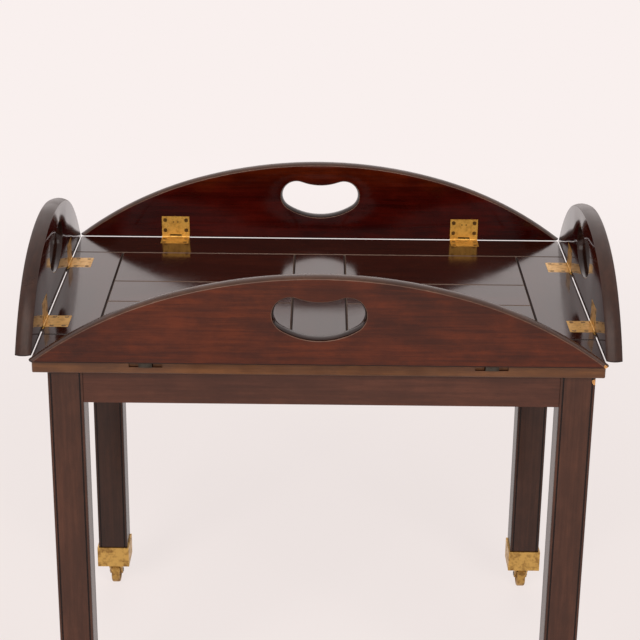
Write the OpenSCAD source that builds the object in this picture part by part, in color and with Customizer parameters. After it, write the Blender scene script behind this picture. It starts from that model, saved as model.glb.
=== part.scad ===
// Tea trolley: a lift-off butler's tray with four hinged flaps on a beaded stand with castors.
// Millimetres, +Z up, +Y to the back. The origin is on the floor under the middle of the tray.

/* [Tray board] */
// Height of the tray's top surface above the floor
tray_height = 530; // [470:1:700]
// Width of the tray board between its side edges
tray_w = 662; // [620:1:740]
// Depth of the tray board between its front and back edges
tray_d = 445; // [420:1:500]
// Thickness of the rails and the end boards
board_t = 21; // [19:0.5:26]
// Thickness of the planks and the centre board
plank_t = 16; // [14:0.5:18]
// Width of the front and back rails
rail_w = 70; // [60:1:85]
// Width of the two end boards
end_w = 66; // [60:1:80]
// Width of the centre board
centre_w = 67; // [50:1:90]
// Width of the two middle planks
mid_plank_w = 75; // [50:1:110]
// Rounding of the board's top edge
edge_top_r = 3.5; // [3:0.5:7]
// Rounding of the board's bottom edge
edge_low_r = 3; // [1:0.5:5]
// Rounding of the board's corners, seen from above
corner_r = 3; // [1:0.5:8]
// Width of the V groove where two boards meet
groove_w = 3.2; // [1:0.1:5]
// Depth of the V groove
groove_d = 2.2; // [0.5:0.1:3.5]
// Thickness of the tongues that join the boards
tongue_t = 5; // [4:0.5:6]
// Length of the tongues
tongue_l = 6; // [4:0.5:10]
// Clearance of a tongue in its groove
tongue_gap = 0.1; // [0.05:0.01:0.3]

/* [Flaps] */
// Thickness of a flap
flap_t = 19; // [17:0.5:22]
// Height of a flap from its bottom edge to its crest
flap_h = 106.4; // [98:0.2:125]
// Radius of the crown of the two long flaps
long_crown_r = 606; // [560:1:680]
// Radius of the crown of the two short flaps
short_crown_r = 349; // [320:1:400]
// Radius of the crowned section that a flap's rim and its hand hole share
nose_r = 18; // [12:0.5:40]
// Rounding of the arrises between a crowned edge and the flap's faces
arris_r = 1.5; // [1:0.25:3]

/* [Hand holes] */
// Width of a hand hole
hole_w = 103.4; // [92:0.2:120]
// Height of a hand hole at its ends
hole_h = 48; // [44:0.2:54]
// Height of a hand hole's lowest point above the flap's bottom edge
hole_low = 31.6; // [30:0.2:36]
// Radius of the hole's two ends
hole_end_r = 19.2; // [18:0.1:21]

/* [Flap hinges] */
// Distance of the long flaps' hinges from the middle of the tray
hinge_long_x = 199.5; // [150:0.5:230]
// Distance of the short flaps' hinges from the middle of the tray
hinge_short_x = 109; // [80:0.5:125]
// Distance of the hinge axis out from the board's edge
axis_out = 0.6; // [0.5:0.05:1]
// Depth of the hinge axis below the tray's top surface
axis_deep = 0.6; // [0.4:0.05:0.8]
// Gap from the hinge axis to the flap's bottom edge
edge_gap = 0.7; // [0.6:0.05:1.2]
// Gap between the bottom corners of two neighbouring flaps when both lie flat
corner_gap = 0.3; // [0.2:0.05:0.6]
// Width of a hinge leaf
leaf_w = 38; // [34:0.5:44]
// Length of a hinge leaf from the axis
leaf_len = 30; // [27:0.5:34]
// Thickness of a hinge leaf
leaf_t = 1.6; // [1.4:0.1:2]
// Radius of the hinge barrel
barrel_r = 2.2; // [2:0.1:2.6]
// Radius of the hinge pin
pin_r = 1; // [0.8:0.05:1.2]
// Length of the middle knuckle
knuckle_l = 15.4; // [12:0.2:17]
// Clearance of a leaf in its recess
leaf_gap = 0.15; // [0.05:0.05:0.3]
// Clearance of the pin in the middle knuckle
pin_gap = 0.05; // [0.02:0.01:0.1]
// Clearance between parts of the hinge that turn past each other
turn_gap = 0.4; // [0.3:0.05:0.6]
// Thickness of the flat spring
spring_t = 1.2; // [0.8:0.1:1.4]
// Length of the spring's tail below the hinge axis
spring_tail = 10.4; // [8:0.2:11]
// Length of the spring above the hinge axis
spring_up = 25; // [22:0.5:26]
// Depth of the rail's notch below the tray's top surface
notch_deep = 12.4; // [11:0.2:14]
// Depth of the barrel's notch into the wood
notch_in = 3.4; // [3:0.2:4.5]

/* [Hinge screws] */
// Distance of a hinge screw from the middle of its leaf
screw_x = 14.5; // [12:0.5:15]
// Distance of the near screws from the hinge axis
screw_near = 10; // [9:0.5:13]
// Distance of the far screws from the hinge axis
screw_far = 24.5; // [20:0.5:26]
// Radius of a hinge screw's head
screw_head_r = 2.8; // [2.2:0.1:3.2]
// Radius of a hinge screw's shank
screw_r = 1.4; // [1:0.1:1.7]
// Length of a hinge screw
screw_l = 12; // [8:0.5:14]
// Radius of the rivets that hold the spring
rivet_r = 1; // [0.8:0.1:1.2]
// Distance of a rivet from the middle of its leaf
rivet_x = 3; // [2:0.2:5]
// Distance of the rivets from the hinge axis
rivet_up = 22; // [18:0.5:23]
// Width and depth of a screw's slot
slot_w = 0.7; // [0.4:0.1:1]
// Clearance of a fastener in its hole
hole_gap = 0.05; // [0.02:0.01:0.1]

/* [Stand] */
// Width of the stand over its legs
stand_w = 638; // [600:1:650]
// Depth of the stand over its legs
stand_d = 417; // [390:1:430]
// How far the stand sits to the right of the loose tray
stand_shift = 3.5; // [0:0.1:4]
// Width of a leg's square section
leg_w = 41; // [36:0.5:46]
// Distance of a bead's quirk from the leg's corner
bead_w = 3.7; // [3:0.1:5]
// Rounding of the bead on the leg's corner
bead_r = 1.8; // [1:0.1:2.5]
// Radius of the quirk cut beside a bead
quirk_r = 0.7; // [0.4:0.05:1]
// Height of the aprons
apron_h = 43; // [38:0.5:60]
// Thickness of the aprons
apron_t = 20; // [16:0.5:22]
// How far the aprons sit back from the legs' faces
apron_set = 2; // [0:0.5:4]
// Thickness of an apron's tenon
tenon_t = 8; // [6:0.5:10]
// Length of an apron's tenon
tenon_l = 20; // [14:0.5:22]
// Height of an apron's tenon
tenon_h = 30; // [20:0.5:34]
// Clearance of a tenon in its mortise
tenon_gap = 0.1; // [0.05:0.01:0.3]
// Length of a corner block along each apron, from the leg
block_l = 42; // [36:0.5:60]
// Height of a corner block
block_h = 25; // [18:0.5:26]
// Height of a corner block above the aprons' bottom edges
block_up = 2; // [1:0.5:4]
// Radius of a corner screw's shank
corner_screw_r = 2.5; // [2:0.1:3]
// Length of a corner screw
corner_screw_l = 40; // [30:1:44]

/* [Locating cleats] */
// Width of a cleat under the tray
cleat_w = 18; // [14:0.5:22]
// Thickness of a cleat
cleat_t = 12; // [8:0.5:13]
// Play between a cleat and the stand on each side
cleat_play = 4.5; // [4.2:0.1:6]
// Distance of the cleat screws from the middle of the cleat
cleat_screw_y = 110; // [80:1:130]
// Length of a cleat screw
cleat_screw_l = 22; // [18:0.5:24]

/* [Castors] */
// Diameter of a castor wheel
wheel_d = 36; // [30:1:44]
// Width of a castor wheel's tread
wheel_w = 12; // [10:0.5:16]
// Trail of the wheel behind the swivel axis
trail = 14; // [10:0.5:16]
// Direction in which the castors trail, in degrees
castor_turn = 90; // [0:5:355]
// Radius of the swivel stem
stem_r = 4; // [3.5:0.1:5]
// Clearance of the stem in its boss
stem_gap = 0.05; // [0.02:0.01:0.1]
// Radius of the axle
axle_r = 2; // [1.5:0.1:2.5]
// Clearance of the axle in the wheel
axle_gap = 0.05; // [0.02:0.01:0.1]
// Thickness of the fork's arms
arm_t = 2.5; // [2:0.1:3.5]
// Thickness of the fork's crown
crown_t = 3; // [2.5:0.1:4]
// Radius of the fork's crown
crown_r = 12; // [11:0.5:14]
// Clearance between the wheel and the fork's crown
wheel_top_gap = 3.5; // [2:0.1:6]
// Clearance between the fork's crown and the cup
crown_gap = 0.3; // [0.2:0.05:0.6]
// Thickness of the cup's wall
cup_t = 2; // [1.5:0.1:3]
// Thickness of the cup's floor
cup_floor = 4; // [3:0.5:6]
// Height of the cup's wall above its floor
cup_h = 26; // [20:1:36]
// Radius of the boss inside the cup
boss_r = 8; // [7:0.5:9]
// Height of the boss above the cup's floor
boss_h = 12; // [8:0.5:16]
// Thickness of the head that keeps the stem in its boss
head_t = 2; // [1.5:0.1:3]

/* [Hidden] */
$fn = 96;

// How far a cutting solid runs past the face it cuts
past = 1;
// Heights of the tray's top and underside
top_z = tray_height;
under_z = top_z - board_t;
// Tongues lie in the middle of the plank's thickness
tongue_z = top_z - plank_t / 2;
// Half spans between the boards of the tray
rail_y = tray_d / 2 - rail_w;
end_x = tray_w / 2 - end_w;
centre_x = centre_w / 2;
// How far out the end boards' own tongues reach
tongue_x = tray_w / 2 - end_w / 2;
// How far a flap's bottom edge runs past each corner of the board
flap_over = axis_out + edge_gap - corner_gap;
// Castor heights, from the floor up
axle_z = wheel_d / 2;
crown_z = wheel_d + wheel_top_gap;
cup_z = crown_z + crown_t + crown_gap;
foot_z = cup_z + cup_floor;
leg_l = under_z - foot_z;
// Distances from the stand's middle to a leg's middle and to its inner corner
leg_x = (stand_w - leg_w) / 2;
leg_y = (stand_d - leg_w) / 2;
inner_x = stand_w / 2 - leg_w;
inner_y = stand_d / 2 - leg_w;
// Distances from the stand's middle to the aprons' inner faces
apron_in_x = stand_w / 2 - apron_set - apron_t;
apron_in_y = stand_d / 2 - apron_set - apron_t;
// Colours as photographed
frame_brown = [0.33, 0.21, 0.17];
flap_brown = [0.34, 0.17, 0.11];
board_brown = [0.26, 0.12, 0.08];
brass_gold = [0.76, 0.60, 0.30];
steel_grey = [0.55, 0.53, 0.50];

// Outline of a board with rounded top and bottom edges, standing on the X axis
module edge_outline(w) {
    wide_r = max(edge_top_r, edge_low_r);
    translate([-w / 2 + wide_r, 0]) square([w - 2 * wide_r, board_t]);
    translate([-w / 2, edge_low_r]) square([w, board_t - edge_low_r - edge_top_r]);
    for (s = [-1, 1]) {
        translate([s * (w / 2 - edge_low_r), edge_low_r]) circle(edge_low_r);
        translate([s * (w / 2 - edge_top_r), board_t - edge_top_r]) circle(edge_top_r);
    }
    translate([-w / 2 + edge_low_r, 0]) square([w - 2 * edge_low_r, board_t - edge_top_r]);
    translate([-w / 2 + edge_top_r, edge_low_r]) square([w - 2 * edge_top_r, board_t - edge_low_r]);
}

// Outline of the tray seen from above
module plan_outline() {
    square([tray_w - 2 * corner_r, tray_d], center = true);
    square([tray_w, tray_d - 2 * corner_r], center = true);
    for (sx = [-1, 1], sy = [-1, 1])
        translate([sx * (tray_w / 2 - corner_r), sy * (tray_d / 2 - corner_r)]) circle(corner_r);
}

// The whole tray as one slab, from which the rails and end boards are cut
module tray_slab() {
    intersection() {
        translate([0, tray_d / 2, under_z]) rotate([90, 0, 0]) linear_extrude(tray_d) edge_outline(tray_w);
        translate([-tray_w / 2, 0, under_z])
            rotate([90, 0, 90]) linear_extrude(tray_w) edge_outline(tray_d);
        translate([0, 0, under_z - past]) linear_extrude(board_t + 2 * past) plan_outline();
    }
}

// V groove along X, centred on the origin, its mouth at the tray's top surface
module v_groove(l) {
    rise = past * groove_w / groove_d;
    translate([-l / 2, 0, top_z]) rotate([90, 0, 90]) linear_extrude(l)
        polygon([[0, -groove_d], [groove_w / 2 + rise / 2, past], [-groove_w / 2 - rise / 2, past]]);
}

// Every groove in the tray's top
module tray_grooves() {
    for (s = [-1, 1]) {
        translate([0, s * rail_y, 0]) v_groove(tray_w + 2 * past);
        for (x = [end_x, centre_x])
            translate([s * x, 0, 0]) rotate([0, 0, 90]) v_groove(2 * rail_y);
        for (side = [-1, 1])
            translate([side * (end_x + centre_x) / 2, s * mid_plank_w / 2, 0]) v_groove(end_x - centre_x);
    }
}

// A box between two corners in plan, at a given height and thickness
module slab(x0, x1, y0, y1, z, t) {
    translate([x0, y0, z]) cube([x1 - x0, y1 - y0, t]);
}

// A tongue, or with gap the groove it runs in, over the given span
module tongue(x0, x1, y0, y1, gap = 0) {
    slab(x0 - gap, x1 + gap, y0 - gap, y1 + gap, tongue_z - tongue_t / 2 - gap, tongue_t + 2 * gap);
}

// Front or back rail: side is -1 or 1
module rail(side) {
    edge = side * rail_y;
    color(board_brown) difference() {
        intersection() {
            tray_slab();
            slab(-tray_w, tray_w, min(edge, side * tray_d), max(edge, side * tray_d), 0, 2 * top_z);
        }
        // Groove for the tongues of every board that meets the rail
        tongue(-tongue_x, tongue_x, edge - tongue_l, edge + tongue_l, tongue_gap);
        tray_grooves();
        if (side > 0) at_hinges("back") board_recess();
        if (side < 0) at_hinges("front") board_recess();
    }
}

// Left or right end board: side is -1 or 1
module end_board(side) {
    edge = side * end_x;
    far = side * tongue_x;
    color(board_brown) difference() {
        union() {
            intersection() {
                tray_slab();
                slab(min(edge, side * tray_w), max(edge, side * tray_w), -rail_y, rail_y, 0, 2 * top_z);
            }
            tongue(min(edge, far), max(edge, far), -rail_y - tongue_l, rail_y + tongue_l);
        }
        tongue(edge - tongue_l, edge + tongue_l, -rail_y + tongue_l, rail_y - tongue_l, tongue_gap);
        tray_grooves();
        if (side > 0) at_hinges("right") board_recess();
        if (side < 0) at_hinges("left") board_recess();
        cleat_holes();
    }
}

// Centre board, tongued into the rails and grooved for the planks
module centre_board() {
    color(board_brown) difference() {
        union() {
            slab(-centre_x, centre_x, -rail_y, rail_y, top_z - plank_t, plank_t);
            tongue(-centre_x, centre_x, -rail_y - tongue_l, rail_y + tongue_l);
        }
        for (s = [-1, 1])
            tongue(s * centre_x - tongue_l, s * centre_x + tongue_l, -rail_y + tongue_l, rail_y - tongue_l,
                tongue_gap);
        tray_grooves();
    }
}

// One plank: side is -1 or 1 for left or right, row is -1, 0 or 1 from front to back
module plank(side, row) {
    near = centre_x;
    low = row == 0 ? -mid_plank_w / 2 : mid_plank_w / 2;
    high = row == 0 ? mid_plank_w / 2 : rail_y;
    y0 = row < 0 ? -high : low;
    y1 = row < 0 ? -low : high;
    // The end tongues stop short of the rails' own grooves
    t0 = row < 0 ? y0 + 2 * tongue_l : y0;
    t1 = row > 0 ? y1 - 2 * tongue_l : y1;
    color(board_brown) mirror([side < 0 ? 1 : 0, 0, 0]) difference() {
        union() {
            slab(near, end_x, y0, y1, top_z - plank_t, plank_t);
            tongue(near - tongue_l, end_x + tongue_l, t0, t1);
            // The middle plank is tongued into its neighbours, and they into the rails
            if (row == 0) tongue(near + 2 * tongue_l, end_x - 2 * tongue_l, y0 - tongue_l, y1 + tongue_l);
            if (row != 0)
                tongue(near, end_x, row > 0 ? y1 : y0 - tongue_l, row > 0 ? y1 + tongue_l : y0);
        }
        if (row != 0) {
            meet = row * mid_plank_w / 2;
            tongue(near + 2 * tongue_l, end_x - 2 * tongue_l, meet - tongue_l, meet + tongue_l, tongue_gap);
        }
        tray_grooves();
    }
}

// Places children in the frame of one side: X along the hinge axis, Y outward, Z up
module at_side(side) {
    turn = side == "back" ? 0 : side == "left" ? 90 : side == "front" ? 180 : 270;
    reach = is_long(side) ? tray_d / 2 : tray_w / 2;
    rotate([0, 0, turn]) translate([0, reach + axis_out, top_z - axis_deep]) children();
}

// Places children at both hinges of one side
module at_hinges(side) {
    x = is_long(side) ? hinge_long_x : hinge_short_x;
    at_side(side) for (s = [-1, 1]) translate([s * x, 0, 0]) children();
}

function is_long(side) = side == "front" || side == "back";

// A box in the hinge frame, centred across the hinge: width, then Y and Z spans
module hinge_box(w, y0, y1, z0, z1) {
    translate([-w / 2, y0, z0]) cube([w, y1 - y0, z1 - z0]);
}

// A cylinder along X in the hinge frame
module barrel(r, x0, x1) {
    translate([x0, 0, 0]) rotate([0, 90, 0]) cylinder(h = x1 - x0, r = r);
}

// Places children at the four screws of the flap's leaf, with +Z out of the leaf's face
module at_flap_screws() {
    for (s = [-1, 1], z = [screw_near, screw_far])
        translate([s * screw_x, -axis_deep, z]) rotate([90, 0, 0]) children();
}

// Places children at the four screws of the board's leaf, with +Z out of the leaf's face
module at_board_screws() {
    for (s = [-1, 1], y = [screw_near, screw_far])
        translate([s * screw_x, -y, axis_deep]) children();
}

// Countersunk screw with its head's face at Z = 0, pointing down
module wood_screw(r, head_r, l) {
    head_h = head_r - r;
    tip = 2 * r;
    difference() {
        union() {
            translate([0, 0, -head_h]) cylinder(h = head_h, r1 = r, r2 = head_r);
            translate([0, 0, -l + tip]) cylinder(h = l - tip - head_h, r = r);
            translate([0, 0, -l]) cylinder(h = tip, r1 = r / 4, r2 = r);
        }
        translate([-head_r, -slot_w / 2, -slot_w]) cube([2 * head_r, slot_w, slot_w + past]);
    }
}

// The hole for a countersunk screw in the piece under its head
module screw_hole(r, head_r, l) {
    head_h = head_r - r;
    translate([0, 0, -head_h]) cylinder(h = head_h, r1 = r + hole_gap, r2 = head_r + hole_gap);
    cylinder(h = past, r = head_r + hole_gap);
    translate([0, 0, -l - hole_gap]) cylinder(h = l + hole_gap, r = r + hole_gap);
}

// Recess in the board for one hinge leaf, its barrel and the spring's tail
module board_recess() {
    barrel_w = leaf_w + 2 * turn_gap;
    well = sqrt(pow(spring_tail, 2) + pow(spring_y() + spring_t, 2)) + turn_gap;
    notch_z = axis_deep - notch_deep;
    hinge_box(leaf_w + 2 * leaf_gap, -leaf_len - leaf_gap, axis_out + past, axis_deep - leaf_t, 2 * past);
    hinge_box(barrel_w, -axis_out - notch_in, axis_out + past, notch_z, 2 * past);
    hinge_box(knuckle_l + 4 * turn_gap, -well, axis_out + past, notch_z, axis_deep - leaf_t + past / 2);
    at_board_screws() screw_hole(screw_r, screw_head_r, screw_l);
}

// Recess in the flap for one hinge leaf, its barrel and the spring, in the hinge frame
module flap_recess() {
    back = leaf_t - axis_deep;
    hinge_box(leaf_w + 2 * leaf_gap, -axis_deep - past, back, -past, leaf_len + leaf_gap);
    hinge_box(leaf_w + 2 * turn_gap, -axis_deep - past, barrel_r + 2 * turn_gap,
        -past, barrel_r + 3 * turn_gap);
    hinge_box(knuckle_l + 2 * turn_gap, -axis_deep - past, spring_y() + spring_t + turn_gap, -past,
        spring_up + turn_gap);
    at_flap_screws() screw_hole(screw_r, screw_head_r, screw_l);
}

// Distance of the spring's tail from the hinge axis
function spring_y() = barrel_r + turn_gap;

// Leaf that lies in the board, with the middle knuckle
module board_leaf() {
    edge = barrel_r + turn_gap;
    difference() {
        union() {
            hinge_box(leaf_w, -leaf_len, -edge, axis_deep - leaf_t, axis_deep);
            hinge_box(knuckle_l, -edge - past, 0, axis_deep - leaf_t, axis_deep);
            barrel(barrel_r, -knuckle_l / 2, knuckle_l / 2);
        }
        barrel(pin_r + pin_gap, -leaf_w, leaf_w);
        at_board_screws() screw_hole(screw_r, screw_head_r, screw_l);
    }
}

// Leaf that lies in the flap, with the two outer knuckles
module flap_leaf() {
    edge = barrel_r + turn_gap;
    side_gap = turn_gap * 0.75;
    knuckle_x = knuckle_l / 2 + side_gap;
    difference() {
        union() {
            hinge_box(leaf_w, -axis_deep, leaf_t - axis_deep, edge, leaf_len);
            for (s = [-1, 1]) {
                x0 = s > 0 ? knuckle_x : -leaf_w / 2;
                finger_w = leaf_w / 2 - knuckle_x;
                translate([x0, -axis_deep, 0]) cube([finger_w, leaf_t, edge + past]);
                barrel(barrel_r, x0, x0 + finger_w);
            }
        }
        // Slot above the middle knuckle, where the spring passes
        hinge_box(2 * knuckle_x, -axis_deep - past, barrel_r + past, 0, edge + 2 * side_gap + past);
        barrel(pin_r + hole_gap / 2, -leaf_w, leaf_w);
        at_flap_screws() screw_hole(screw_r, screw_head_r, screw_l);
        at_rivets() translate([0, 0, -leaf_w / 2]) cylinder(h = leaf_w, r = rivet_r + hole_gap);
    }
}

// Places children at the two rivets of a leaf, with +Z out of the leaf's face
module at_rivets() {
    for (s = [-1, 1]) translate([s * rivet_x, -axis_deep, rivet_up]) rotate([90, 0, 0]) children();
}

// Flat spring riveted behind the flap's leaf, its tail hanging past the middle knuckle
module spring() {
    near = leaf_t - axis_deep;
    far = spring_y();
    bend_low = edge_bend();
    bend_high = bend_low + 2 * (far - near);
    difference() {
        translate([-knuckle_l / 2, 0, 0]) rotate([90, 0, 90]) linear_extrude(knuckle_l) polygon([
            [near, spring_up], [near, bend_high], [far, bend_low], [far, -spring_tail],
            [far + spring_t, -spring_tail], [far + spring_t, bend_low + spring_t / 4],
            [near + spring_t, bend_high + spring_t / 4], [near + spring_t, spring_up]
        ]);
        at_rivets() translate([0, 0, -leaf_w / 2]) cylinder(h = leaf_w, r = rivet_r + hole_gap);
    }
}

// Height at which the spring's tail starts to bend towards the leaf
function edge_bend() = barrel_r + 1.5 * turn_gap;

// Rivet through the leaf and the spring, with a head behind
module rivet() {
    grip = leaf_t + spring_t;
    translate([0, 0, -grip]) cylinder(h = grip, r = rivet_r);
    translate([0, 0, -grip - rivet_r / 2]) cylinder(h = rivet_r / 2, r = 1.6 * rivet_r);
}

module board_leaves(side) {
    color(brass_gold) at_hinges(side) board_leaf();
}

module flap_leaves(side) {
    color(brass_gold) at_hinges(side) flap_leaf();
}

module hinge_pins(side) {
    color(brass_gold) at_hinges(side) barrel(pin_r, -leaf_w / 2, leaf_w / 2);
}

module hinge_springs(side) {
    color(steel_grey) at_hinges(side) spring();
}

module flap_screws(side) {
    color(brass_gold) at_hinges(side) {
        at_flap_screws() wood_screw(screw_r, screw_head_r, screw_l);
        at_rivets() rivet();
    }
}

// Directions in which two arcs meet. They are whole fractions, so the pieces meet exactly
crown_dir = [7, 24] / 25;
low_dir = [336, -527] / 625;
dip_dir = [44, -117] / 125;

// Numbers of facets of a crowned edge and of each of its arrises
crown_n = 6;
arris_n = 4;

// Whole steps of a length, so that pieces built apart still meet exactly
function whole(v, step) = round(v / step) * step;

// Lean at which a crown passes into its arrises, and the depth of their centres below the crest
lean = asin((flap_t / 2 - arris_r) / (nose_r - arris_r));
arris_deep = nose_r - (nose_r - arris_r) * cos(lean);

// Points of a crowned edge, as depths below its crest and distances from the outer face
arris = [
    for (i = [0:arris_n])
        let (turn = 90 - (90 - lean) * i / arris_n)
            [arris_deep - arris_r * cos(turn), arris_r - arris_r * sin(turn)]
];
crown = [
    for (i = [1:crown_n - 1])
        let (turn = lean * (1 - 2 * i / crown_n))
            [nose_r - nose_r * cos(turn), flap_t / 2 - nose_r * sin(turn)]
];
nose = concat(arris, crown, [for (i = [arris_n:-1:0]) [arris[i][0], flap_t - arris[i][1]]]);

// Sweeps a section about Z between two directions, by way of the corners listed in between
module sector(from, between, to) {
    intersection() {
        rotate_extrude() children();
        translate([0, 0, -flap_t]) linear_extrude(3 * flap_t)
            polygon(concat([[0, 0], from], between, [to]));
    }
}

// Radius of a flap's shoulder, tangent to the crown and ending at the bottom corner
function shoulder_r(half, r) =
    let (d = [half, r - flap_h] - r * crown_dir) whole(-(d * d) / (2 * (d * crown_dir)), 0.5);

// Section through the flap's rim, its outer edge at radius r
module rim_section(r) {
    inner = r - whole(1.25 * flap_h, 0.5);
    rim = [for (p = nose) [whole(r - p[0], 0.001), whole(p[1], 0.001)]];
    polygon(concat([[inner, flap_t], [inner, 0]], rim));
}

// Flap lying down: X along its bottom edge, Y up the flap, Z from its outer to its inner face
module flap_blank(half, crown_r) {
    r = whole(crown_r, 0.5);
    sr = shoulder_r(half, r);
    far = 1000;
    left_dir = [-crown_dir[0], crown_dir[1]];
    intersection() {
        translate([0, flap_h - r, 0]) {
            sector(far * left_dir, [], far * crown_dir) rim_section(r);
            for (s = [0, 1]) mirror([s, 0, 0]) translate((r - sr) * crown_dir)
                sector(far * crown_dir, [[far, far]], [far, -far / 4]) rim_section(sr);
        }
        translate([-half - flap_t, 0, -past]) cube([2 * (half + flap_t), 2 * flap_h, flap_t + 2 * past]);
    }
}

// Section of the hand hole along its wall at radius r: side is 1 with the wood outside, -1 inside
module hole_section(r, side) {
    lead = 3 * nose[0] - 2 * nose[1];
    low = [[-hole_end_r, -past], [lead[0], -past], lead];
    high = [for (i = [2:-1:0]) [low[i][0], flap_t - low[i][1]]];
    polygon([for (p = concat(low, nose, high)) [r + side * p[0], p[1]]]);
}

// Hand hole with crowned walls: two round ends, a deep arc below and a dip above
module hand_hole() {
    // Both centres' distances are whole steps, and in the one proportion that fits both directions
    low_c = whole((hole_w / 2 - hole_end_r) / low_dir[0], 2.75);
    dip_c = low_c * low_dir[0] / dip_dir[0];
    ex = low_c * low_dir[0];
    far = 125;
    core = 0.6 * hole_end_r;
    translate([0, hole_low + hole_h - hole_end_r, 0]) {
        translate([-ex - past, -core, -past]) cube([2 * (ex + past), 1.4 * core, flap_t + 2 * past]);
        for (s = [0, 1]) mirror([s, 0, 0]) translate([ex, 0, 0])
            sector(far * low_dir, [[far, -far], [far, far]], -far * dip_dir) hole_section(hole_end_r, 1);
        translate([0, -low_c * low_dir[1], 0])
            sector([-far * low_dir[0], far * low_dir[1]], [], far * low_dir)
                hole_section(low_c + hole_end_r, 1);
        translate([0, -dip_c * dip_dir[1], 0])
            sector([-far * dip_dir[0], far * dip_dir[1]], [], far * dip_dir)
                hole_section(dip_c - hole_end_r, -1);
    }
}

// One flap, standing up
module flap(side) {
    half = (is_long(side) ? tray_w : tray_d) / 2 + flap_over;
    x = is_long(side) ? hinge_long_x : hinge_short_x;
    color(flap_brown) at_side(side) difference() {
        translate([0, flap_t - axis_deep, edge_gap]) rotate([90, 0, 0]) difference() {
            flap_blank(half, is_long(side) ? long_crown_r : short_crown_r);
            hand_hole();
        }
        for (s = [-1, 1]) translate([s * x, 0, 0]) flap_recess();
    }
}

// Places children in the stand's own frame, which sits a little to one side of the tray
module in_stand() {
    translate([stand_shift, 0, 0]) children();
}

// Section of a leg: square, with a bead on each corner set off by quirks
module leg_outline() {
    h = leg_w / 2;
    difference() {
        union() {
            square([leg_w - 2 * bead_r, leg_w], center = true);
            square([leg_w, leg_w - 2 * bead_r], center = true);
            for (sx = [-1, 1], sy = [-1, 1]) translate([sx * (h - bead_r), sy * (h - bead_r)]) circle(bead_r);
        }
        for (s = [-1, 1], t = [-1, 1]) {
            translate([s * h, t * (h - bead_w)]) circle(quirk_r);
            translate([t * (h - bead_w), s * h]) circle(quirk_r);
        }
    }
}

// A leg at the corner given by two signs
module leg(sx, sy) {
    color(frame_brown) in_stand() difference() {
        translate([sx * leg_x, sy * leg_y, foot_z]) linear_extrude(leg_l) leg_outline();
        apron_bodies(tenon_gap);
        // Socket in the foot for the castor's boss and stem
        translate([sx * leg_x, sy * leg_y, foot_z - past])
            cylinder(h = past + boss_h + crown_gap + 2 * head_t, r = boss_r + tenon_gap);
        corner_screw_holes();
        cup_screw_holes();
    }
}

// The four aprons as bodies with tenons, or with gap as what their mortises leave free
module apron_bodies(gap = 0) {
    for (s = [-1, 1]) {
        apron_body(s, 0, gap);
        apron_body(0, s, gap);
    }
}

// One apron: along X where sy is set, along Y where sx is set
module apron_body(sx, sy, gap = 0) {
    along_x = sy != 0;
    span = along_x ? inner_x : inner_y;
    off = (along_x ? stand_d : stand_w) / 2 - apron_set - apron_t;
    mid_z = under_z - apron_h / 2;
    rotate([0, 0, along_x ? (sy > 0 ? 0 : 180) : (sx > 0 ? -90 : 90)]) {
        if (gap == 0) translate([-span, off, under_z - apron_h]) cube([2 * span, apron_t, apron_h]);
        translate([-span - tenon_l - gap, off + (apron_t - tenon_t) / 2 - gap, mid_z - tenon_h / 2 - gap])
            cube([2 * (span + tenon_l + gap), tenon_t + 2 * gap, tenon_h + 2 * gap]);
    }
}

module apron(sx, sy) {
    color(frame_brown) in_stand() apron_body(sx, sy);
}

// Places children at each corner block's screw, +Z pointing out of the block's long face
module at_corner_screws() {
    for (sx = [-1, 1], sy = [-1, 1]) {
        shift = (inner_x + inner_y - block_line()) / 2;
        translate([sx * (inner_x - shift), sy * (inner_y - shift), block_z() + block_h / 2])
            rotate([0, 0, atan2(sy, sx)]) rotate([0, -90, 0]) children();
    }
}

// Where the block's long face crosses: the sum of x and y on it
function block_line() = apron_in_x + inner_y - block_l;
function block_z() = under_z - apron_h + block_up;

// Corner block: it fills the corner between two aprons, notched around the leg
module corner_blocks() {
    color(frame_brown) in_stand() difference() {
        for (sx = [0, 1], sy = [0, 1])
            mirror([sx, 0, 0]) mirror([0, sy, 0]) translate([0, 0, block_z()]) linear_extrude(block_h)
                polygon([
                    [apron_in_x, inner_y - block_l], [apron_in_x, inner_y], [inner_x, inner_y],
                    [inner_x, apron_in_y], [block_line() - apron_in_y, apron_in_y]
                ]);
        corner_screw_holes();
    }
}

module corner_screw_holes() {
    at_corner_screws() screw_hole(corner_screw_r, 2 * corner_screw_r, corner_screw_l);
}

// Places children at the two screws of each castor cup, +Z pointing out of the cup's face
module at_cup_screws() {
    out = leg_w / 2 + tenon_gap + cup_t;
    for (sx = [-1, 1], sy = [-1, 1]) translate([sx * leg_x, sy * leg_y, foot_z + cup_h * 0.6]) {
        translate([sx * out, 0, 0]) rotate([0, sx * 90, 0]) children();
        translate([0, sy * out, 0]) rotate([-sy * 90, 0, 0]) children();
    }
}

module cup_screw_holes() {
    at_cup_screws() screw_hole(screw_r, screw_head_r, screw_l / 1.5);
}

// Screws of the stand: one in each corner block and two in each castor cup
module stand_screws() {
    color(brass_gold) in_stand() {
        at_corner_screws() wood_screw(corner_screw_r, 2 * corner_screw_r, corner_screw_l);
        at_cup_screws() wood_screw(screw_r, screw_head_r, screw_l / 1.5);
    }
}

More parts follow.
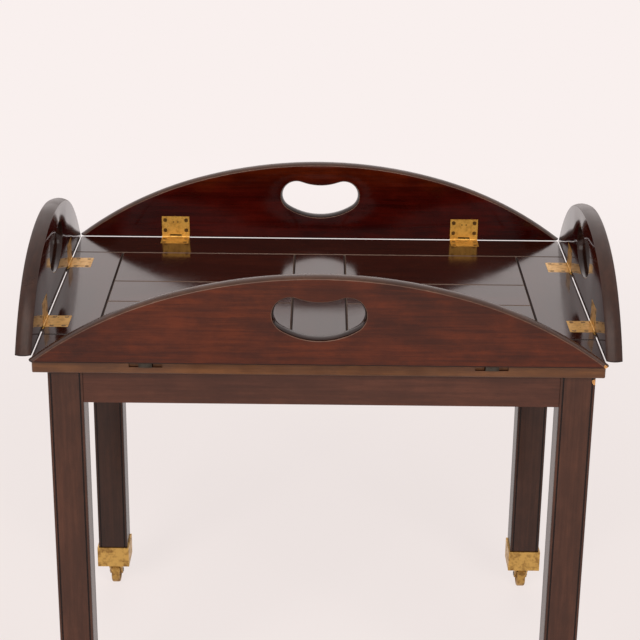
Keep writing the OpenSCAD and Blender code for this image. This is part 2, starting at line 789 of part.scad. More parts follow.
// Square cups on the four feet, each with a boss that guides the castor's stem
module castor_cups() {
    w = leg_w + 2 * (tenon_gap + cup_t);
    inner = leg_w + 2 * tenon_gap;
    color(brass_gold) in_stand() difference() {
        for (sx = [-1, 1], sy = [-1, 1]) translate([sx * leg_x, sy * leg_y, cup_z]) difference() {
            union() {
                difference() {
                    translate([-w / 2, -w / 2, 0]) cube([w, w, cup_floor + cup_h]);
                    translate([-inner / 2, -inner / 2, cup_floor]) cube([inner, inner, cup_h + past]);
                }
                cylinder(h = cup_floor + boss_h, r = boss_r);
            }
            translate([0, 0, -past]) cylinder(h = cup_floor + boss_h + 2 * past, r = stem_r + stem_gap);
        }
        cup_screw_holes();
    }
}

// Places children on a castor's swivel axis at floor level, with X along its trail
module at_castor(sx, sy) {
    in_stand() translate([sx * leg_x, sy * leg_y, 0]) rotate([0, 0, castor_turn]) children();
}

// Fork of a castor: crown, stem with a retaining head, and two arms down to the axle
module castor_fork(sx, sy) {
    gap = wheel_w / 2 + 2 * crown_gap;
    eye_r = 2.8 * axle_r;
    color(brass_gold) at_castor(sx, sy) difference() {
        union() {
            translate([0, 0, crown_z]) cylinder(h = crown_t, r = crown_r);
            translate([0, 0, crown_z]) cylinder(h = crown_t + cup_floor + boss_h + 2 * crown_gap, r = stem_r);
            translate([0, 0, crown_z + crown_t + cup_floor + boss_h + 2 * crown_gap])
                cylinder(h = head_t, r = 1.5 * stem_r);
            for (s = [-1, 1]) translate([0, s * (gap + arm_t / 2) + arm_t / 2, 0])
                rotate([90, 0, 0]) linear_extrude(arm_t) {
                    translate([trail, axle_z]) circle(eye_r);
                    polygon([
                        [trail + eye_r, axle_z], [crown_r * 0.7, crown_z + crown_t],
                        [-crown_r * 0.7, crown_z + crown_t], [-crown_r * 0.7, crown_z],
                        [trail - eye_r, axle_z]
                    ]);
                }
        }
        translate([trail, gap + 2 * arm_t, axle_z]) rotate([90, 0, 0])
            cylinder(h = 2 * gap + 4 * arm_t, r = axle_r + hole_gap / 2);
    }
}

// Axle with a head outside each arm
module castor_axle(sx, sy) {
    half = wheel_w / 2 + 2 * crown_gap + arm_t;
    color(steel_grey) at_castor(sx, sy) translate([trail, half + axle_r / 2, axle_z]) rotate([90, 0, 0]) {
        translate([0, 0, axle_r / 2]) cylinder(h = 2 * half, r = axle_r);
        cylinder(h = axle_r / 2, r = 1.6 * axle_r);
        translate([0, 0, 2 * half + axle_r / 2]) cylinder(h = axle_r / 2, r = 1.6 * axle_r);
    }
}

// Wheel with a rounded tread, a thinner web and a hub
module castor_wheel(sx, sy) {
    r = wheel_d / 2;
    tread_r = 2.5;
    hub_w = wheel_w + 2 * crown_gap;
    web_w = wheel_w * 0.45;
    color(brass_gold) at_castor(sx, sy) translate([trail, 0, axle_z]) rotate([90, 0, 0]) rotate_extrude()
        difference() {
            union() {
                translate([0, -hub_w / 2]) square([3 * axle_r, hub_w]);
                translate([0, -web_w / 2]) square([r - 2 * tread_r, web_w]);
                translate([r * 0.75, -wheel_w / 2]) square([r * 0.25 - tread_r, wheel_w]);
                translate([r * 0.75, tread_r - wheel_w / 2]) square([r * 0.25, wheel_w - 2 * tread_r]);
                for (s = [-1, 1]) translate([r - tread_r, s * (wheel_w / 2 - tread_r)]) circle(tread_r);
            }
            translate([0, -wheel_w]) square([axle_r + axle_gap, 2 * wheel_w]);
        }
}

// Cleats under the tray that keep it between the aprons
module locating_cleats() {
    x = apron_in_x - cleat_play - cleat_w;
    half = inner_y - cleat_play;
    color(board_brown) difference() {
        for (s = [-1, 1]) translate([s > 0 ? x : -x - cleat_w, -half, under_z - cleat_t])
            cube([cleat_w, 2 * half, cleat_t]);
        cleat_holes();
    }
}

// Places children at the cleat screws, +Z pointing down out of the cleat
module at_cleat_screws() {
    x = apron_in_x - cleat_play - cleat_w / 2;
    for (sx = [-1, 1], sy = [-1, 0, 1])
        translate([sx * x, sy * cleat_screw_y, under_z - cleat_t]) rotate([180, 0, 0]) children();
}

module cleat_holes() {
    at_cleat_screws() screw_hole(screw_r, screw_head_r, cleat_screw_l);
}

// Screws of the tray: four in each board leaf and three in each cleat
module tray_screws() {
    color(brass_gold) {
        for (side = ["front", "back", "left", "right"])
            at_hinges(side) at_board_screws() wood_screw(screw_r, screw_head_r, screw_l);
        at_cleat_screws() wood_screw(screw_r, screw_head_r, cleat_screw_l);
    }
}

leg(-1, -1);  // leg_front_left
leg(1, -1);  // leg_front_right
leg(-1, 1);  // leg_back_left
leg(1, 1);  // leg_back_right
apron(0, -1);  // apron_front
apron(0, 1);  // apron_back
apron(-1, 0);  // apron_left
apron(1, 0);  // apron_right
corner_blocks();
stand_screws();
castor_cups();
castor_fork(-1, -1);  // castor_fork_front_left
castor_fork(1, -1);  // castor_fork_front_right
castor_fork(-1, 1);  // castor_fork_back_left
castor_fork(1, 1);  // castor_fork_back_right
castor_axle(-1, -1);  // castor_axle_front_left
castor_axle(1, -1);  // castor_axle_front_right
castor_axle(-1, 1);  // castor_axle_back_left
castor_axle(1, 1);  // castor_axle_back_right
castor_wheel(-1, -1);  // castor_wheel_front_left
castor_wheel(1, -1);  // castor_wheel_front_right
castor_wheel(-1, 1);  // castor_wheel_back_left
castor_wheel(1, 1);  // castor_wheel_back_right
rail(-1);  // rail_front
rail(1);  // rail_back
end_board(-1);  // end_board_left
end_board(1);  // end_board_right
centre_board();
plank(-1, -1);  // plank_left_front
plank(-1, 0);  // plank_left_middle
plank(-1, 1);  // plank_left_back
plank(1, -1);  // plank_right_front
plank(1, 0);  // plank_right_middle
plank(1, 1);  // plank_right_back
locating_cleats();
tray_screws();
board_leaves("front");  // board_leaves_front
board_leaves("back");  // board_leaves_back
board_leaves("left");  // board_leaves_left
board_leaves("right");  // board_leaves_right
flap("front");  // flap_front
flap("back");  // flap_back
flap("left");  // flap_left
flap("right");  // flap_right
flap_leaves("front");  // flap_leaves_front
flap_leaves("back");  // flap_leaves_back
flap_leaves("left");  // flap_leaves_left
flap_leaves("right");  // flap_leaves_right
hinge_pins("front");  // hinge_pins_front
hinge_pins("back");  // hinge_pins_back
hinge_pins("left");  // hinge_pins_left
hinge_pins("right");  // hinge_pins_right
hinge_springs("front");  // hinge_springs_front
hinge_springs("back");  // hinge_springs_back
hinge_springs("left");  // hinge_springs_left
hinge_springs("right");  // hinge_springs_right
flap_screws("front");  // flap_screws_front
flap_screws("back");  // flap_screws_back
flap_screws("left");  // flap_screws_left
flap_screws("right");  // flap_screws_right
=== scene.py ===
"""Looks of the tea trolley: lacquered mahogany, aged brass and plain studio light."""

import math

import bpy
from mathutils import Matrix, Vector


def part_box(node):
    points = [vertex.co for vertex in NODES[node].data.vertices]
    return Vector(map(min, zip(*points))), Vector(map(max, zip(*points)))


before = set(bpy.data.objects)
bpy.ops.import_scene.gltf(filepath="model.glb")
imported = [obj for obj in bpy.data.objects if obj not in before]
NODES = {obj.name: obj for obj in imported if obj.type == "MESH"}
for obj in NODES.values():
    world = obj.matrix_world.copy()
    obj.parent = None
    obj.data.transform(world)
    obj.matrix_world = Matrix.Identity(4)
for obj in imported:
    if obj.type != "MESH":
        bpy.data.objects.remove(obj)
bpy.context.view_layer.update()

SIDES = ("front", "back", "left", "right")
CORNERS = ("front_left", "front_right", "back_left", "back_right")
TRAY_TOP = 0.530
UP = (0, 0, 1)

# Where the masks of the flaps begin and end, in metres
HOLE_SIDE = (0.054, 0.056)
HOLE_TOP = (0.614, 0.616)
PAINTED_LIGHT_FROM = (0.585, 0.66)
# How far a surface may point along the flap's thickness and still be a rounded arris
ARRIS_START, ARRIS_END = (0.52, 0.64), (0.9, 0.97)


def linear(r, g, b):
    """A colour given as 0 to 255 on screen, as the linear values a shader takes."""
    out = []
    for v in (r, g, b):
        v = v / 255
        out.append(v / 12.92 if v <= 0.04045 else ((v + 0.055) / 1.055) ** 2.4)
    return (*out, 1.0)


class Tree:
    """A node tree, and short ways to add nodes to it."""

    def __init__(self, tree):
        self.tree = tree

    def put(self, socket, value):
        if isinstance(value, bpy.types.NodeSocket):
            self.tree.links.new(value, socket)
        else:
            socket.default_value = value

    def span(self, value, low, high, to_low=0.0, to_high=1.0):
        """Takes the part of a value between low and high to another range, with soft ends."""
        n = self.tree.nodes.new("ShaderNodeMapRange")
        n.interpolation_type = "SMOOTHSTEP"
        self.put(n.inputs["Value"], value)
        n.inputs["From Min"].default_value = low
        n.inputs["From Max"].default_value = high
        self.put(n.inputs["To Min"], to_low)
        self.put(n.inputs["To Max"], to_high)
        return n.outputs["Result"]

    def math(self, operation, a, b):
        n = self.tree.nodes.new("ShaderNodeMath")
        n.operation = operation
        self.put(n.inputs[0], a)
        self.put(n.inputs[1], b)
        return n.outputs["Value"]

    def mix(self, factor, a, b):
        n = self.tree.nodes.new("ShaderNodeMix")
        n.data_type = "RGBA"
        self.put(n.inputs["Factor"], factor)
        a_in, b_in = [s for s in n.inputs if s.name in "AB" and s.type == "RGBA"]
        self.put(a_in, a)
        self.put(b_in, b)
        return next(s for s in n.outputs if s.type == "RGBA")

    def vector_math(self, operation, vector, other=None):
        n = self.tree.nodes.new("ShaderNodeVectorMath")
        n.operation = operation
        self.put(n.inputs[0], vector)
        if other is not None:
            n.inputs[1].default_value = other
        return n.outputs

    def pictured(self):
        """1 for the rays that show the background: to the camera, in a reflection and through glass."""
        path = self.tree.nodes.new("ShaderNodeLightPath").outputs
        mirrored = self.math("MAXIMUM", path["Is Camera Ray"], path["Is Glossy Ray"])
        return self.math("MAXIMUM", mirrored, path["Is Transmission Ray"])


class Shader(Tree):
    """A material with a Principled shader."""

    def __init__(self, name):
        self.mat = bpy.data.materials.new(name)
        self.mat.use_nodes = True
        super().__init__(self.mat.node_tree)
        self.bsdf = next(n for n in self.tree.nodes if n.type == "BSDF_PRINCIPLED")
        place = self.tree.nodes.new("ShaderNodeTexCoord")
        self.coords = place.outputs["Object"]
        self.facing = place.outputs["Normal"]

    def shade(self, **values):
        for key, value in values.items():
            self.put(self.bsdf.inputs[key.replace("_", " ")], value)

    def scaled(self, scale, offset=(0, 0, 0)):
        """The object's own coordinates in metres, times a scale for each axis."""
        n = self.tree.nodes.new("ShaderNodeMapping")
        self.put(n.inputs["Vector"], self.coords)
        n.inputs["Scale"].default_value = scale
        n.inputs["Location"].default_value = offset
        return n.outputs["Vector"]

    def noise(self, scale, detail=4.0, rough=0.55, offset=(0, 0, 0), distortion=0.0):
        n = self.tree.nodes.new("ShaderNodeTexNoise")
        self.put(n.inputs["Vector"], self.scaled(scale, offset))
        n.inputs["Scale"].default_value = 1.0
        n.inputs["Detail"].default_value = detail
        n.inputs["Roughness"].default_value = rough
        n.inputs["Distortion"].default_value = distortion
        return n.outputs["Fac"]

    def bump(self, height, strength, distance):
        n = self.tree.nodes.new("ShaderNodeBump")
        n.inputs["Strength"].default_value = strength
        n.inputs["Distance"].default_value = distance
        self.put(n.inputs["Height"], height)
        return n.outputs["Normal"]

    def along(self, vector, direction):
        """How far a vector points along a direction."""
        return self.vector_math("DOT_PRODUCT", vector, direction)["Value"]

    def near(self, point, radius):
        """1 at a point of the object, falling to 0 at a radius from it."""
        gap = self.vector_math("DISTANCE", self.coords, point)["Value"]
        return self.span(gap, radius * 0.55, radius, 1.0, 0.0)


def grain_scale(axis, along, across):
    """A scale that stretches a texture along one axis."""
    return tuple(along if i == axis else across for i in range(3))


def darker(colour, share):
    return tuple(c * share for c in colour[:3]) + (1.0,)


def wood(name, axis, dark, light, seed=0.0, rough=0.42, specular=0.5, coat=0.0, gloss=0.2, chips=(), parts=()):
    """Lacquered mahogany with its grain along one axis: 0, 1 or 2 for X, Y or Z.

    parts lists (mask, dark, light, rough): surfaces that take another tone and another roughness, and each
    mask is a function of the shader.
    """
    s = Shader(name)
    shift = (seed * 1.7, seed * 2.3, seed * 3.1)
    grit = rough
    for find, low, high, coarse in parts:
        mask = find(s)
        dark = s.mix(mask, dark, low)
        light = s.mix(mask, light, high)
        grit = s.span(mask, 0.0, 1.0, grit, coarse)
    darker_dark = s.mix(0.35, dark, (0.0, 0.0, 0.0, 1.0))
    streak = s.noise(grain_scale(axis, 9, 190), 6.0, 0.62, shift, 0.3)
    flame = s.noise(grain_scale(axis, 4.5, 15), 4.0, 0.55, shift, 0.6)
    cloud = s.noise(grain_scale(axis, 28, 46), 5.0, 0.6, shift)
    pore = s.noise(grain_scale(axis, 110, 1500), 2.0, 0.5, shift)
    tone = s.mix(s.span(flame, 0.3, 0.7, 0.12, 0.88), dark, light)
    tone = s.mix(s.span(cloud, 0.35, 0.68, 0.0, 0.45), tone, dark)
    tone = s.mix(s.span(cloud, 0.55, 0.3, 0.0, 0.35), tone, light)
    tone = s.mix(s.span(streak, 0.32, 0.62, 0.5, 0.0), tone, darker_dark)
    tone = s.mix(s.span(streak, 0.5, 0.75, 0.0, 0.35), tone, light)
    pores = s.span(pore, 0.6, 0.74)
    tone = s.mix(s.math("MULTIPLY", pores, 0.4), tone, s.mix(0.5, dark, (0.0, 0.0, 0.0, 1.0)))
    worn = s.math("MULTIPLY", s.span(s.noise((9, 9, 9), 5.0, 0.6, shift), 0.35, 0.7, 0.8, 1.35), grit)
    for point, radius, colour in chips:
        ragged = s.span(s.noise((420, 420, 420), 4.0, 0.6), 0.3, 0.7, 0.4, 1.4)
        chip = s.span(s.math("MULTIPLY", s.near(point, radius), ragged), 0.42, 0.55)
        tone = s.mix(chip, tone, colour)
        worn = s.math("MAXIMUM", worn, s.math("MULTIPLY", chip, 0.8))
    s.shade(Base_Color=tone, Roughness=worn, Specular_IOR_Level=specular)
    height = s.math("MULTIPLY", s.math("ADD", pores, streak), s.span(grit, 0.1, 0.3, 0.4, 1.0))
    s.shade(Normal=s.bump(height, 0.06, 0.0004))
    if coat > 0:
        s.shade(Coat_Weight=coat, Coat_Roughness=gloss, Coat_IOR=1.5)
        s.shade(Coat_Normal=s.bump(s.noise((38, 38, 38), 2.0, 0.45, shift), 0.05, 0.0006))
    return s.mat


def turned_to(direction, low=-0.2, high=0.2):
    """A mask for the surfaces that face a direction."""
    return lambda s: s.span(s.along(s.facing, direction), low, high)


def turned_from(direction, flat=0.99, round_off=0.86):
    """A mask for the surfaces that face neither along a direction nor against it."""
    return lambda s: s.span(s.math("ABSOLUTE", s.along(s.facing, direction), 0.0), round_off, flat, 1.0, 0.0)


def arrises(direction):
    """A mask for the narrow roundings between a crowned edge and the faces along a direction."""

    def find(s):
        turn = s.math("ABSOLUTE", s.along(s.facing, direction), 0.0)
        return s.math("MULTIPLY", s.span(turn, *ARRIS_START), s.span(turn, *ARRIS_END, 1.0, 0.0))

    return find


def painted_light_above(direction):
    """A mask for the upper part of the faces that face a direction, where a lighter, browner tone is painted:
    painted light.
    """

    def find(s):
        high = s.span(s.along(s.coords, UP), *PAINTED_LIGHT_FROM)
        return s.math("MULTIPLY", high, turned_to(direction)(s))

    return find


def brass(name, colour, dull, axis=0, rough=0.3, metal=1.0):
    """Aged brass: fine brushing along an axis, brown patina in patches, dark specks."""
    s = Shader(name)
    brushed = s.noise(grain_scale(axis, 60, 2600), 3.0, 0.6)
    patina = s.noise((130, 130, 130), 5.0, 0.6)
    specks = s.noise((900, 900, 900), 3.0, 0.6)
    tone = s.mix(s.span(patina, 0.42, 0.72), colour, dull)
    tone = s.mix(s.span(specks, 0.66, 0.76, 0.0, 0.75), tone, darker(dull, 0.22))
    worn = s.span(s.math("ADD", patina, s.math("MULTIPLY", brushed, 0.25)), 0.45, 0.85, rough, rough + 0.2)
    s.shade(Base_Color=tone, Roughness=worn, Metallic=metal)
    s.shade(Normal=s.bump(s.math("ADD", brushed, specks), 0.08, 0.00012))
    return s.mat


def steel(name, colour, rough=0.42):
    """Spring steel with heat tint and faint rust spots."""
    s = Shader(name)
    cloud = s.noise((160, 160, 160), 4.0, 0.6)
    rust = s.noise((620, 620, 620), 4.0, 0.65)
    tone = s.mix(s.span(cloud, 0.35, 0.7), colour, darker(colour, 0.6))
    tone = s.mix(s.span(rust, 0.62, 0.74, 0.0, 0.8), tone, linear(96, 56, 34))
    s.shade(Base_Color=tone, Roughness=s.span(rust, 0.3, 0.7, rough, rough + 0.25), Metallic=1.0)
    s.shade(Normal=s.bump(rust, 0.1, 0.0003))
    return s.mat


def plain_wood(name, axis, dark, light):
    """Unpolished hardwood for the inner blocks and cleats."""
    s = Shader(name)
    streak = s.noise(grain_scale(axis, 5, 210), 6.0, 0.6, distortion=0.3)
    pore = s.noise(grain_scale(axis, 60, 1700), 2.0, 0.5)
    tone = s.mix(s.span(streak, 0.3, 0.7), dark, light)
    tone = s.mix(s.span(pore, 0.6, 0.75, 0.0, 0.5), tone, darker(dark, 0.5))
    s.shade(Base_Color=tone, Roughness=s.span(streak, 0.2, 0.8, 0.62, 0.78))
    s.shade(Normal=s.bump(s.math("ADD", streak, pore), 0.2, 0.0004))
    return s.mat


def below(height, fade=0.0004):
    """A mask for what lies below a height."""
    return lambda s: s.span(s.along(s.coords, UP), height - fade, height + fade, 1.0, 0.0)


def hole_walls(axis):
    """A mask for the walls of a flap's hand hole and their rounded edges; axis runs along the flap."""

    def find(s):
        sideways = s.math("ABSOLUTE", s.along(s.coords, tuple(i == axis for i in range(3))), 0.0)
        near_middle = s.span(sideways, *HOLE_SIDE, 1.0, 0.0)
        low = s.span(s.along(s.coords, UP), *HOLE_TOP, 1.0, 0.0)
        across = tuple(i == 1 - axis for i in range(3))
        off_face = turned_from(across)(s)
        return s.math("MULTIPLY", s.math("MULTIPLY", near_middle, low), off_face)

    return find


def quirk_lines(middle, half=0.0205, bead=0.0037, reach=0.0013):
    """A mask for the fine grooves beside the corner beads of a leg whose axis runs through a point."""

    def find(s):
        plan = s.scaled((1, 1, 0), (-middle[0], -middle[1], 0))
        fold = s.vector_math("ABSOLUTE", plan)["Vector"]
        masks = []
        for point in ((half, half - bead, 0), (half - bead, half, 0)):
            gap = s.vector_math("DISTANCE", fold, point)["Value"]
            masks.append(s.span(gap, reach * 0.5, reach, 1.0, 0.0))
        return s.math("MAXIMUM", *masks)

    return find


def dress(node, mat):
    obj = NODES[node]
    obj.data.materials.clear()
    obj.data.materials.append(mat)


OUTER_DARK, OUTER_LIGHT = linear(45, 14, 2), linear(94, 38, 12)
INNER_DARK, INNER_LIGHT = linear(34, 2, 1), linear(66, 10, 4)
# A lighter, browner tone on the upper part of the flaps' inner faces: painted light
UPPER_LIT_DARK, UPPER_LIT_LIGHT = linear(52, 10, 2), linear(96, 36, 9)
RIM_DARK, RIM_LIGHT = linear(52, 29, 18), linear(80, 50, 33)
# A dark tone for the hand holes' walls and rounded edges: painted shade in the recess
HOLE_SHADE_DARK, HOLE_SHADE_LIGHT = linear(28, 14, 10), linear(46, 24, 17)
# A painted highlight along the rounded arrises of the front and back flaps
ARRIS_HIGHLIGHT_DARK, ARRIS_HIGHLIGHT_LIGHT = linear(84, 58, 47), linear(116, 86, 70)
# The side flaps' rims take a darker copy of the rim tone: light and shade painted into one wood
SIDE_RIM_SHADED_DARK, SIDE_RIM_SHADED_LIGHT = linear(42, 24, 18), linear(60, 37, 28)
TOP_DARK, TOP_LIGHT = linear(44, 13, 5), linear(66, 25, 12)
# A dark tone for groove walls and fine grooves: painted shade
GROOVE = linear(22, 8, 5)
# Lighter tones for the groove walls that face the light: painted light
GROOVE_LIT, GROOVE_PALE = linear(78, 60, 50), linear(104, 84, 72)
SHADOW_LINE = linear(26, 12, 8)
EDGE_DARK, EDGE_LIGHT = linear(78, 46, 25), linear(120, 78, 46)
FRAME_DARK, FRAME_LIGHT = linear(59, 32, 20), linear(85, 50, 35)
# The aprons take a lighter copy of the frame's tone: painted light against the shade under the tray's overhang
APRON_LIT_DARK, APRON_LIT_LIGHT = linear(65, 34, 22), linear(89, 50, 35)
BARE = linear(205, 150, 92)
# The stand's lacquer is thin, over a dull stained wood
FRAME_LACQUER = {"specular": 0.0, "coat": 0.7, "gloss": 0.2}

inward = {"front": (0, 1, 0), "back": (0, -1, 0), "left": (1, 0, 0), "right": (-1, 0, 0)}
for i, side in enumerate(SIDES):
    axis = 0 if side in ("front", "back") else 1
    chips = []
    if side == "front":
        chips.append(((0.3295, -0.2405, TRAY_TOP + 0.0002), 0.006, BARE))
    # Front and back rims take the lighter rim tone, side rims the darker one: a painted difference of light
    # and shade
    rim = (RIM_DARK, RIM_LIGHT) if axis == 0 else (SIDE_RIM_SHADED_DARK, SIDE_RIM_SHADED_LIGHT)
    faces = [
        (turned_to(inward[side]), INNER_DARK, INNER_LIGHT, 0.09),
        (painted_light_above(inward[side]), UPPER_LIT_DARK, UPPER_LIT_LIGHT, 0.09),
        (turned_from(inward[side]), *rim, 0.27 if axis == 0 else 0.34),
        # The hand holes' walls take a dark painted shade
        (hole_walls(axis), HOLE_SHADE_DARK, HOLE_SHADE_LIGHT, 0.16),
    ]
    # The arrises of the front and back flaps take a lighter tone: a painted highlight
    if axis == 0:
        faces.append((arrises(inward[side]), ARRIS_HIGHLIGHT_DARK, ARRIS_HIGHLIGHT_LIGHT, 0.3))
    faces.append((below(TRAY_TOP + 0.0012), SHADOW_LINE, SHADOW_LINE, 0.6))
    mat = wood(
        f"flap_mahogany_{side}",
        axis,
        OUTER_DARK,
        OUTER_LIGHT,
        seed=3.0 + i,
        rough=0.18,
        specular=0.3,
        chips=chips,
        parts=faces,
    )
    dress(f"flap_{side}", mat)
    mat = wood(f"apron_mahogany_{side}", axis, APRON_LIT_DARK, APRON_LIT_LIGHT, 11.0 + i, **FRAME_LACQUER)
    dress(f"apron_{side}", mat)

outer_edges = {
    "rail_front": (0, -1, 0),
    "rail_back": (0, 1, 0),
    "end_board_left": (-1, 0, 0),
    "end_board_right": (1, 0, 0),
}
board_nodes = {
    "rail_front": 0,
    "rail_back": 0,
    "end_board_left": 1,
    "end_board_right": 1,
    "centre_board": 1,
    "plank_left_front": 0,
    "plank_left_middle": 0,
    "plank_left_back": 0,
    "plank_right_front": 0,
    "plank_right_middle": 0,
    "plank_right_back": 0,
}
for i, (node, axis) in enumerate(board_nodes.items()):
    # The planks' and rails' groove walls take a lighter tone, painted light, and the other boards' walls a
    # dark one, painted shade
    walls = (GROOVE_LIT, GROOVE_PALE) if node.startswith(("plank", "rail")) else (GROOVE, darker(GROOVE, 1.6))
    faces = [(turned_from(UP, 0.98, 0.7), *walls, 0.6)]
    if node in outer_edges:
        faces.append((turned_to(outer_edges[node], 0.35, 0.75), EDGE_DARK, EDGE_LIGHT, 0.5))
    mat = wood(f"top_mahogany_{node}", axis, TOP_DARK, TOP_LIGHT, 21.0 + i, rough=0.11, parts=faces)
    dress(node, mat)

# The photograph shows the back legs in shade, and their wood is darkened to match it
BACK_LEG_SHARE = {"back_left": 0.5, "back_right": 0.68}
for i, corner in enumerate(CORNERS):
    share = BACK_LEG_SHARE.get(corner, 1.0)
    tones = darker(FRAME_DARK, share), darker(FRAME_LIGHT, share)
    low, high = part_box(f"leg_{corner}")
    # The fine grooves beside the beads take a dark tone: painted shade in the creases
    quirks = (quirk_lines((low + high) / 2), GROOVE, GROOVE, 0.7)
    chips = []
    if corner == "front_right":
        chips.append(((high[0] - 0.0005, low[1] + 0.0005, 0.499), 0.005, BARE))
    mat = wood(f"leg_mahogany_{corner}", 2, *tones, 41.0 + i, chips=chips, parts=[quirks], **FRAME_LACQUER)
    dress(f"leg_{corner}", mat)

inner = plain_wood("inner_hardwood", 1, linear(104, 74, 46), linear(140, 104, 68))
for node in ("corner_blocks", "locating_cleats"):
    dress(node, inner)

leaf_brass = brass("leaf_brass", linear(220, 170, 82), linear(180, 131, 56), rough=0.27, metal=0.45)
screw_brass = brass("screw_brass", linear(120, 88, 46), linear(70, 48, 26), rough=0.36, metal=0.7)
castor_brass = brass("castor_brass", linear(206, 164, 90), linear(140, 102, 52), axis=2, rough=0.32, metal=0.7)
wheel_brass = brass("wheel_brass", linear(186, 146, 80), linear(120, 86, 46), axis=0, rough=0.38, metal=0.7)
# The springs' steel takes a darker tone than the axles': painted shade of the notches they sit in
spring_steel = steel("spring_steel", linear(84, 78, 70))
for side in SIDES:
    for kind in ("board_leaves", "flap_leaves"):
        dress(f"{kind}_{side}", leaf_brass)
    dress(f"hinge_pins_{side}", screw_brass)
    dress(f"flap_screws_{side}", screw_brass)
    dress(f"hinge_springs_{side}", spring_steel)
for node in ("tray_screws", "stand_screws"):
    dress(node, screw_brass)
dress("castor_cups", castor_brass)
axle_steel = steel("axle_steel", linear(150, 146, 140), 0.3)
for corner in CORNERS:
    dress(f"castor_fork_{corner}", castor_brass)
    dress(f"castor_wheel_{corner}", wheel_brass)
    dress(f"castor_axle_{corner}", axle_steel)

# Finer shading of the solids: shared corners, smooth across the facets of a round, crisp at real edges
smoother = bpy.data.node_groups.new("smooth_rounds", "GeometryNodeTree")
smoother.interface.new_socket("Geometry", in_out="INPUT", socket_type="NodeSocketGeometry")
smoother.interface.new_socket("Geometry", in_out="OUTPUT", socket_type="NodeSocketGeometry")
steps = smoother.nodes
start, end = steps.new("NodeGroupInput"), steps.new("NodeGroupOutput")
merge = steps.new("GeometryNodeMergeByDistance")
merge.inputs["Distance"].default_value = 2e-6
all_smooth = steps.new("GeometryNodeSetShadeSmooth")
all_smooth.domain = "FACE"
crisp = steps.new("GeometryNodeSetShadeSmooth")
crisp.domain = "EDGE"
crisp.inputs["Shade Smooth"].default_value = False
angle = steps.new("GeometryNodeInputMeshEdgeAngle")
wide = steps.new("FunctionNodeCompare")
wide.operation = "GREATER_THAN"
wide.inputs["B"].default_value = math.radians(32)
smoother.links.new(start.outputs["Geometry"], merge.inputs["Geometry"])
smoother.links.new(merge.outputs["Geometry"], all_smooth.inputs["Geometry"])
smoother.links.new(all_smooth.outputs["Geometry"], crisp.inputs["Geometry"])
smoother.links.new(angle.outputs["Unsigned Angle"], wide.inputs["A"])
smoother.links.new(wide.outputs["Result"], crisp.inputs["Selection"])
smoother.links.new(crisp.outputs["Geometry"], end.inputs["Geometry"])
for obj in NODES.values():
    normals = obj.data.attributes.get("custom_normal")
    if normals is not None:
        obj.data.attributes.remove(normals)
    obj.modifiers.new("smooth_rounds", "NODES").node_group = smoother

# Studio: a wide pale floor and backdrop, which the camera and every reflection see alike
PALE = (0.947, 0.871, 0.855, 1.0)
PAPER = (0.82, 0.765, 0.75, 1.0)
BLACK = (0.0, 0.0, 0.0, 1.0)
WARM = (1.0, 0.88, 0.78, 1.0)

bpy.ops.mesh.primitive_plane_add(size=40, location=(0, 0, 0))
floor = bpy.context.object
floor.name = "studio_floor"
paper = Shader("studio_paper")
seen = paper.pictured()
# In front of the table the floor sends less light back onto it, and looks just as pale
not_in_front = paper.span(paper.along(paper.coords, (0, 1, 0)), -1.3, -0.5, 0.2, 1.0)
shown = paper.math("MAXIMUM", not_in_front, seen)
paper.shade(Base_Color=paper.mix(shown, BLACK, PAPER), Roughness=0.9, Specular_IOR_Level=0.0)
# The floor shows the object's shadow weakly near the table, and not at a distance
reach = paper.vector_math("LENGTH", paper.coords)["Value"]
far = paper.span(reach, 0.3, 2.5, 0.8, 1.0)
glow = paper.tree.nodes.new("ShaderNodeEmission")
glow.inputs["Color"].default_value = PALE
blend = paper.tree.nodes.new("ShaderNodeMixShader")
paper.put(blend.inputs["Fac"], paper.math("MULTIPLY", far, seen))
paper.put(blend.inputs[1], paper.bsdf.outputs["BSDF"])
paper.put(blend.inputs[2], glow.outputs["Emission"])
output = next(n for n in paper.tree.nodes if n.type == "OUTPUT_MATERIAL")
paper.put(output.inputs["Surface"], blend.outputs["Shader"])
floor.data.materials.append(paper.mat)

world = bpy.data.worlds.new("studio_surround")
world.use_nodes = True
room = Tree(world.node_tree)
direction = room.tree.nodes.new("ShaderNodeSeparateXYZ")
room.put(direction.inputs["Vector"], room.tree.nodes.new("ShaderNodeTexCoord").outputs["Generated"])
# Scattered light is brightest from behind and dim from the sides; this part is in no reflection
behind = room.span(direction.outputs["Y"], 0.05, 0.75, 0.1, 1.38)
aside = room.span(room.math("ABSOLUTE", direction.outputs["X"], 0.0), 0.2, 0.46, 1.0, 0.2)
seen = room.pictured()
surround = room.tree.nodes["Background"]
room.put(surround.inputs["Color"], room.mix(seen, WARM, PALE))
room.put(surround.inputs["Strength"], room.math("MAXIMUM", room.math("MULTIPLY", behind, aside), seen))
bpy.context.scene.world = world

LAMP_COLOUR = (1.0, 0.94, 0.88)
AIM = (0, 0, 0.5)


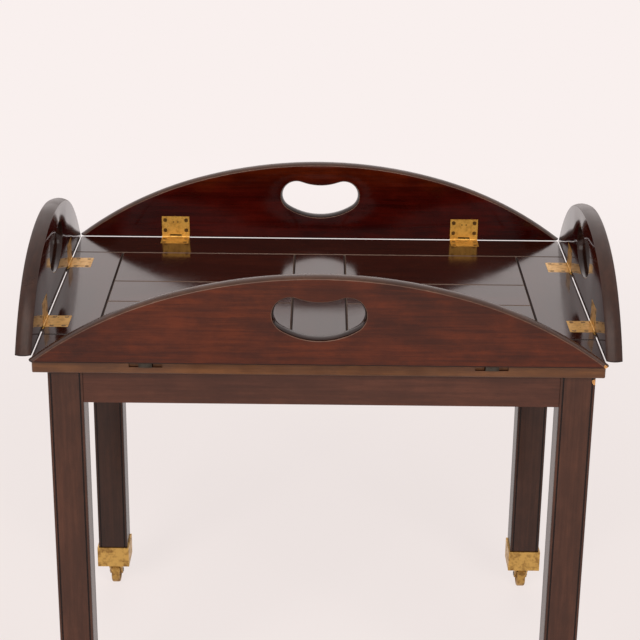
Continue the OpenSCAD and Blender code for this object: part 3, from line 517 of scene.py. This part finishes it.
def soft_light(name, place, size, watts):
    """A square lamp that points at the middle of the table."""
    data = bpy.data.lights.new(name, "AREA")
    data.shape = "SQUARE"
    data.size = size
    data.energy = watts
    data.color = LAMP_COLOUR
    light = bpy.data.objects.new(name, data)
    bpy.context.scene.collection.objects.link(light)
    light.location = place
    aim = Vector(AIM) - Vector(place)
    light.rotation_euler = aim.to_track_quat("-Z", "Y").to_euler()
    return light


# The lamps in front light the object but show in none of its reflections; the one above does show
soft_light("left_softbox", (-1.6, -2.8, 1.9), 1.3, 54).visible_glossy = False
soft_light("right_softbox", (1.6, -2.8, 1.9), 1.3, 50).visible_glossy = False
soft_light("front_fill", (0.0, -3.6, 1.4), 1.8, 22).visible_glossy = False
overhead = soft_light("overhead_softbox", (-0.25, -1.2, 2.5), 2.2, 18)
overhead.data.shape = "RECTANGLE"
overhead.data.size_y = 1.2
overhead.visible_camera = False

# Camera fitted to the photograph; its roll and the pixel focal length are measured
FOCAL_PX = 1746.0
FRAME_PX = 640
SENSOR_MM = 36.0
CAMERA_PLACE = (-0.0024, -2.0817, TRAY_TOP + 0.7575)
PITCH, YAW, ROLL = (math.radians(a) for a in (20.88, 0.10, 0.643))
cam_data = bpy.data.cameras.new("photo_camera")
cam_data.sensor_width = SENSOR_MM
cam_data.lens = FOCAL_PX / FRAME_PX * SENSOR_MM
cam_data.clip_end = 100
camera = bpy.data.objects.new("photo_camera", cam_data)
bpy.context.scene.collection.objects.link(camera)
ahead = Vector((math.sin(YAW) * math.cos(PITCH), math.cos(YAW) * math.cos(PITCH), -math.sin(PITCH)))
right = Vector((math.cos(YAW), -math.sin(YAW), 0))
up = right.cross(ahead)
across = right * math.cos(ROLL) + up * math.sin(ROLL)
upward = up * math.cos(ROLL) - right * math.sin(ROLL)
turn = Matrix((across, upward, -ahead)).transposed().to_4x4()
camera.matrix_world = Matrix.Translation(CAMERA_PLACE) @ turn
bpy.context.scene.camera = camera
bpy.context.scene.view_settings.view_transform = "Standard"
